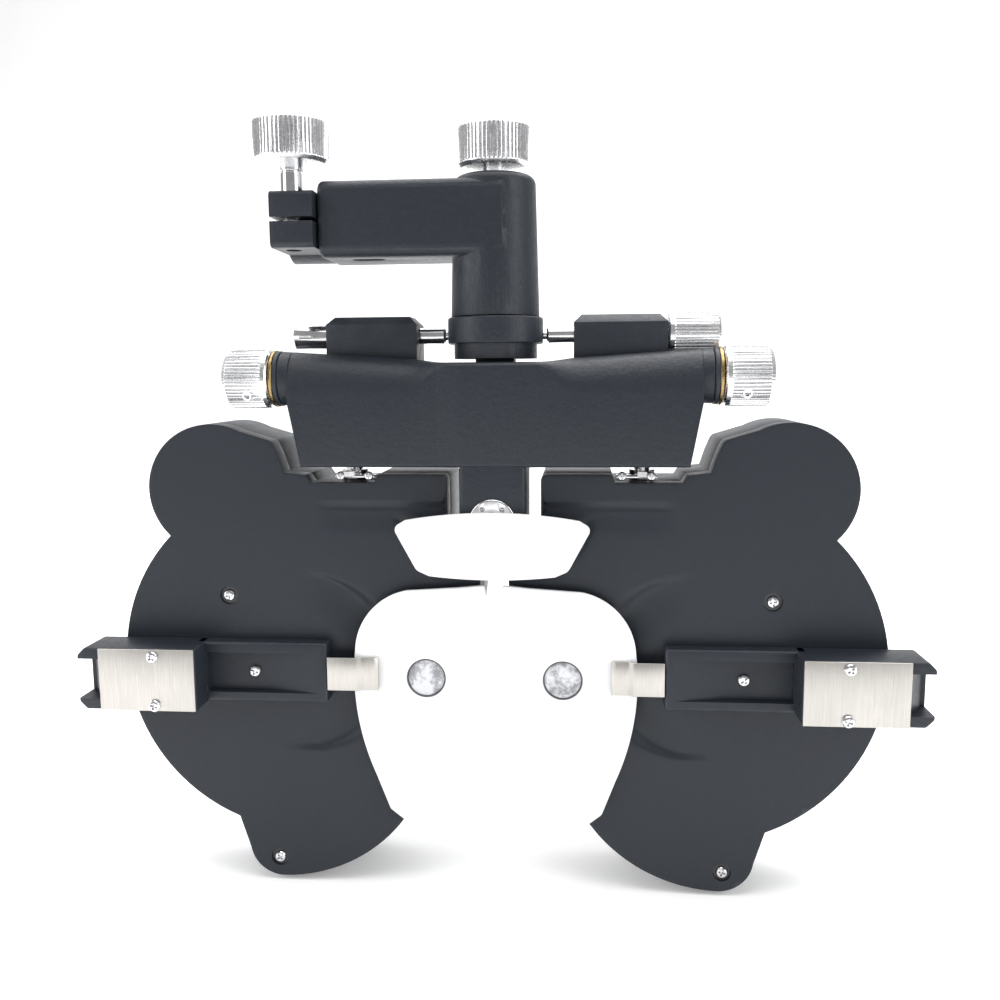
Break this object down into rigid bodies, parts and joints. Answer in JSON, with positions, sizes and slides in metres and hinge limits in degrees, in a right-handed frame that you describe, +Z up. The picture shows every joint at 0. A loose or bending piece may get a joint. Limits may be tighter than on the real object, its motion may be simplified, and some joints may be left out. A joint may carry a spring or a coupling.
{
  "type": "phoropter",
  "caption": "Manual phoropter with paired lens housings on a cross bar, hung from a swivelling bracket arm, for refracting the eyes.",
  "frame": {"origin": "on the axis of the stand pin's bore, inside the split tilt clamp", "axes": "+X to the instrument's right as the patient's side is seen, +Y from the patient to the examiner, +Z up"},
  "size_m": [0.325, 0.0823, 0.3009],
  "materials": {
    "body": "satin",
    "knob": "bright knurled",
    "steel": "polished",
    "brushed": "brushed",
    "brass": "satin",
    "white": "satin",
    "dial": "satin",
    "disc": "anodised",
    "glass": "clear"
  },
  "bodies": {
    "stand_bush": {"stand_bush": "steel"},
    "arm": {"tilt_clamp": "body", "bracket_arm": "body"},
    "tilt_knob": {"tilt_knob": "knob"},
    "rotation_knob": {"rotation_knob": "knob"},
    "hub": {"swivel_hub": "body"},
    "bar": {"hanger_bar": "body", "level_pin": "steel", "levelling_housings": "body", "near_rod_socket": "steel", "pd_bushes": "brass", "forehead_guide": "steel"},
    "levelling_knob": {"levelling_knob": "knob"},
    "levelling_spindle": {"levelling_spindle": "steel"},
    "spring_plunger": {"spring_plunger": "steel"},
    "pd_screw": {"pd_screw": "steel", "pd_knobs": "knob"},
    "forehead_rest": {"forehead_rod": "steel", "forehead_pad": "white"},
    "forehead_knob": {"forehead_knob": "knob"},
    "left_carriage": {"left_carriage": "steel"},
    "left_wing": {"left_rear_cover": "body", "left_front_housing": "body", "left_case_screws": "steel", "left_corneal_housing": "body", "left_corneal_plate": "brushed", "left_shield_clip": "brushed", "left_face_shield": "white", "left_sight_window": "glass"},
    "left_auxiliary_disc": {"left_auxiliary_disc": "disc"},
    "left_auxiliary_knob": {"left_auxiliary_knob": "dial"},
    "left_weak_sphere_dial": {"left_weak_sphere_dial": "dial"},
    "left_cylinder_axis_dial": {"left_cylinder_axis_dial": "dial"},
    "left_cylinder_power_knob": {"left_cylinder_power_knob": "dial"},
    "left_cross_cylinder_arm": {"left_cross_cylinder_arm": "dial"},
    "left_cross_cylinder_lens": {"left_cross_cylinder_lens": "glass"},
    "left_rotary_prism_arm": {"left_rotary_prism_arm": "dial"},
    "left_rotary_prism_ring": {"left_rotary_prism_ring": "glass"},
    "left_strong_sphere": {"left_strong_sphere_disc": "disc", "left_strong_sphere_knob": "dial"},
    "right_carriage": {"right_carriage": "steel"},
    "right_wing": {"right_rear_cover": "body", "right_front_housing": "body", "right_case_screws": "steel", "right_corneal_housing": "body", "right_corneal_plate": "brushed", "right_shield_clip": "brushed", "right_face_shield": "white", "right_sight_window": "glass"},
    "right_auxiliary_disc": {"right_auxiliary_disc": "disc"},
    "right_auxiliary_knob": {"right_auxiliary_knob": "dial"},
    "right_weak_sphere_dial": {"right_weak_sphere_dial": "dial"},
    "right_cylinder_axis_dial": {"right_cylinder_axis_dial": "dial"},
    "right_cylinder_power_knob": {"right_cylinder_power_knob": "dial"},
    "right_cross_cylinder_arm": {"right_cross_cylinder_arm": "dial"},
    "right_cross_cylinder_lens": {"right_cross_cylinder_lens": "glass"},
    "right_rotary_prism_arm": {"right_rotary_prism_arm": "dial"},
    "right_rotary_prism_ring": {"right_rotary_prism_ring": "glass"},
    "right_strong_sphere": {"right_strong_sphere_disc": "disc", "right_strong_sphere_knob": "dial"}
  },
  "joints": [
    {"name": "tilt", "type": "hinge", "parent": "stand_bush", "child": "arm", "pos_m": [0, 0, 0], "axis": [1, 0, 0], "range_deg": [-30, 30]},
    {"name": "tilt_knob_turn", "type": "hinge", "parent": "arm", "child": "tilt_knob", "pos_m": [-0.002, -0.022, 0.022], "axis": [0, 0, 1], "range_deg": [0, 270]},
    {"name": "rotation_knob_turn", "type": "hinge", "parent": "arm", "child": "rotation_knob", "pos_m": [0.0746, -0.012, 0.022], "axis": [0, 0, 1], "range_deg": [0, 270]},
    {"name": "swivel", "type": "hinge", "parent": "arm", "child": "hub", "pos_m": [0.0746, -0.012, -0.028], "axis": [0, 0, 1], "range_deg": [-90, 90]},
    {"name": "levelling", "type": "hinge", "parent": "hub", "child": "bar", "pos_m": [0.0746, -0.012, -0.074], "axis": [0, 1, 0], "range_deg": [-2.5, 2.5]},
    {"name": "levelling_spindle_slide", "type": "slide", "parent": "bar", "child": "levelling_spindle", "axis": [1, 0, 0], "range_m": [-0.0016, 0.0016]},
    {"name": "spring_plunger_slide", "type": "slide", "parent": "bar", "child": "spring_plunger", "axis": [1, 0, 0], "range_m": [-0.0016, 0.0016]},
    {"name": "levelling_knob_turn", "type": "hinge", "parent": "bar", "child": "levelling_knob", "pos_m": [0.1496, -0.008, -0.0429], "axis": [1, 0, 0], "range_deg": [-400, 400]},
    {"name": "forehead_slide", "type": "slide", "parent": "bar", "child": "forehead_rest", "axis": [0, -1, 0], "range_m": [0, 0.016]},
    {"name": "forehead_knob_turn", "type": "hinge", "parent": "bar", "child": "forehead_knob", "pos_m": [0.0746, 0.004, -0.114], "axis": [0, 1, 0], "range_deg": [-20, 1000]},
    {"name": "pd_screw_turn", "type": "hinge", "parent": "bar", "child": "pd_screw", "pos_m": [0.0746, -0.0205, -0.0592], "axis": [1, 0, 0], "range_deg": [-70, 660]},
    {"name": "left_pd", "type": "slide", "parent": "bar", "child": "left_carriage", "axis": [1, 0, 0], "range_m": [-0.0107, 0.001]},
    {"name": "left_vergence", "type": "hinge", "parent": "left_carriage", "child": "left_wing", "pos_m": [0.0171, -0.011, -0.098], "axis": [0, 0, 1], "range_deg": [-4.5, 0]},
    {"name": "left_auxiliary_disc_turn", "type": "hinge", "parent": "left_wing", "child": "left_auxiliary_disc", "pos_m": [-0.0044, 0.014, -0.172], "axis": [0, 1, 0], "continuous": true},
    {"name": "left_auxiliary_knob_turn", "type": "hinge", "parent": "left_wing", "child": "left_auxiliary_knob", "pos_m": [-0.0374, 0.014, -0.1022], "axis": [0, 1, 0], "continuous": true},
    {"name": "left_weak_sphere_turn", "type": "hinge", "parent": "left_wing", "child": "left_weak_sphere_dial", "pos_m": [-0.0044, 0.014, -0.172], "axis": [0, 1, 0], "continuous": true},
    {"name": "left_strong_sphere_turn", "type": "hinge", "parent": "left_wing", "child": "left_strong_sphere", "pos_m": [-0.0044, 0.014, -0.172], "axis": [0, 1, 0], "continuous": true},
    {"name": "left_cylinder_axis_turn", "type": "hinge", "parent": "left_wing", "child": "left_cylinder_axis_dial", "pos_m": [-0.0114, 0.014, -0.239], "axis": [0, 1, 0], "continuous": true},
    {"name": "left_cylinder_power_turn", "type": "hinge", "parent": "left_wing", "child": "left_cylinder_power_knob", "pos_m": [-0.0114, 0.014, -0.239], "axis": [0, 1, 0], "continuous": true},
    {"name": "left_cross_cylinder_swing", "type": "hinge", "parent": "left_wing", "child": "left_cross_cylinder_arm", "pos_m": [0.0526, 0.03, -0.15], "axis": [0, -1, 0], "range_deg": [0, 124.7]},
    {"name": "left_cross_cylinder_flip", "type": "hinge", "parent": "left_cross_cylinder_arm", "child": "left_cross_cylinder_lens", "pos_m": [0.03363, 0.0295, -0.13103], "axis": [-0.7071, 0, 0.7071], "range_deg": [0, 180]},
    {"name": "left_rotary_prism_swing", "type": "hinge", "parent": "left_wing", "child": "left_rotary_prism_arm", "pos_m": [0.0446, 0.03, -0.204], "axis": [0, -1, 0], "range_deg": [-110.01, 0]},
    {"name": "left_rotary_prism_turn", "type": "hinge", "parent": "left_rotary_prism_arm", "child": "left_rotary_prism_ring", "pos_m": [0.01757, 0.03, -0.21044], "axis": [0, 1, 0], "continuous": true},
    {"name": "right_pd", "type": "slide", "parent": "bar", "child": "right_carriage", "axis": [1, 0, 0], "range_m": [-0.001, 0.0107]},
    {"name": "right_vergence", "type": "hinge", "parent": "right_carriage", "child": "right_wing", "pos_m": [0.1321, -0.011, -0.098], "axis": [0, 0, 1], "range_deg": [0, 4.5]},
    {"name": "right_auxiliary_disc_turn", "type": "hinge", "parent": "right_wing", "child": "right_auxiliary_disc", "pos_m": [0.1536, 0.014, -0.172], "axis": [0, 1, 0], "continuous": true},
    {"name": "right_auxiliary_knob_turn", "type": "hinge", "parent": "right_wing", "child": "right_auxiliary_knob", "pos_m": [0.1866, 0.014, -0.1022], "axis": [0, 1, 0], "continuous": true},
    {"name": "right_weak_sphere_turn", "type": "hinge", "parent": "right_wing", "child": "right_weak_sphere_dial", "pos_m": [0.1536, 0.014, -0.172], "axis": [0, 1, 0], "continuous": true},
    {"name": "right_strong_sphere_turn", "type": "hinge", "parent": "right_wing", "child": "right_strong_sphere", "pos_m": [0.1536, 0.014, -0.172], "axis": [0, 1, 0], "continuous": true},
    {"name": "right_cylinder_axis_turn", "type": "hinge", "parent": "right_wing", "child": "right_cylinder_axis_dial", "pos_m": [0.1606, 0.014, -0.239], "axis": [0, 1, 0], "continuous": true},
    {"name": "right_cylinder_power_turn", "type": "hinge", "parent": "right_wing", "child": "right_cylinder_power_knob", "pos_m": [0.1606, 0.014, -0.239], "axis": [0, 1, 0], "continuous": true},
    {"name": "right_cross_cylinder_swing", "type": "hinge", "parent": "right_wing", "child": "right_cross_cylinder_arm", "pos_m": [0.0966, 0.03, -0.15], "axis": [0, 1, 0], "range_deg": [0, 124.7]},
    {"name": "right_cross_cylinder_flip", "type": "hinge", "parent": "right_cross_cylinder_arm", "child": "right_cross_cylinder_lens", "pos_m": [0.11557, 0.0295, -0.13103], "axis": [0.7071, 0, 0.7071], "range_deg": [0, 180]},
    {"name": "right_rotary_prism_swing", "type": "hinge", "parent": "right_wing", "child": "right_rotary_prism_arm", "pos_m": [0.1046, 0.03, -0.204], "axis": [0, 1, 0], "range_deg": [-110.01, 0]},
    {"name": "right_rotary_prism_turn", "type": "hinge", "parent": "right_rotary_prism_arm", "child": "right_rotary_prism_ring", "pos_m": [0.13163, 0.03, -0.21044], "axis": [0, 1, 0], "continuous": true}
  ],
  "couplings": [
    {"joint": "levelling_spindle_slide", "follows": "levelling", "m_per_rad": -0.0311},
    {"joint": "spring_plunger_slide", "follows": "levelling", "m_per_rad": -0.0311},
    {"joint": "levelling_knob_turn", "follows": "levelling", "ratio": -130.27},
    {"joint": "forehead_knob_turn", "follows": "forehead_slide", "rad_per_m": 1047.2},
    {"joint": "pd_screw_turn", "follows": "right_pd", "rad_per_m": 1047.2},
    {"joint": "left_pd", "follows": "right_pd", "ratio": -1},
    {"joint": "left_vergence", "follows": "right_vergence", "ratio": -1},
    {"joint": "left_auxiliary_knob_turn", "follows": "left_auxiliary_disc_turn", "ratio": -4},
    {"joint": "right_auxiliary_knob_turn", "follows": "right_auxiliary_disc_turn", "ratio": -4}
  ]
}
